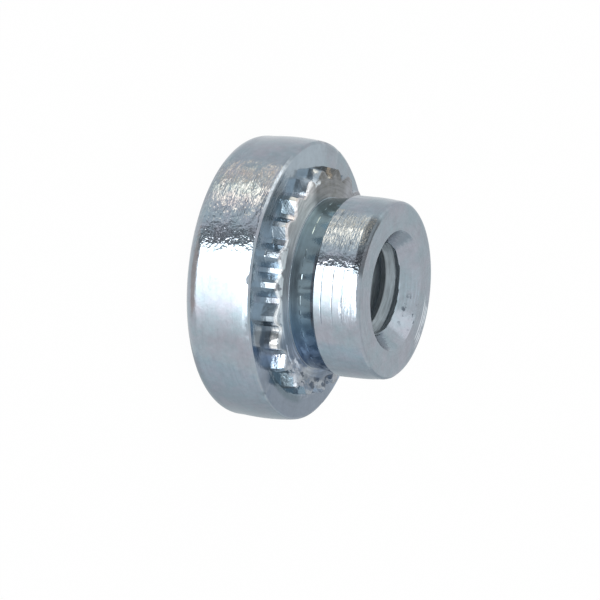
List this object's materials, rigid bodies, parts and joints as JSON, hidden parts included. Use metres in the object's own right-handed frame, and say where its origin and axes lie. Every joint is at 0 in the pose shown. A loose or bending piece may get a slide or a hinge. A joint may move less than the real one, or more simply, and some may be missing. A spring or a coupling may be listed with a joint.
{
  "type": "self clinching nut",
  "caption": "Press-in nut for sheet metal: round head, serrated clinching ring, relief groove and a plain collar with a countersunk threaded through hole.",
  "frame": {"origin": "centre of the head's flat back face, on the axis of the thread", "axes": "+Z along the thread's axis, out of the head through the serrated ring to the collar's front face; +X 1.2 degrees before the middle of a tooth"},
  "size_m": [0.0066, 0.0066, 0.0039],
  "materials": {
    "zinc_plated_steel": "bright zinc plate with a faint blue passivation over a turned surface"
  },
  "bodies": {
    "root": {"clinch_nut": "zinc_plated_steel"}
  },
  "joints": []
}
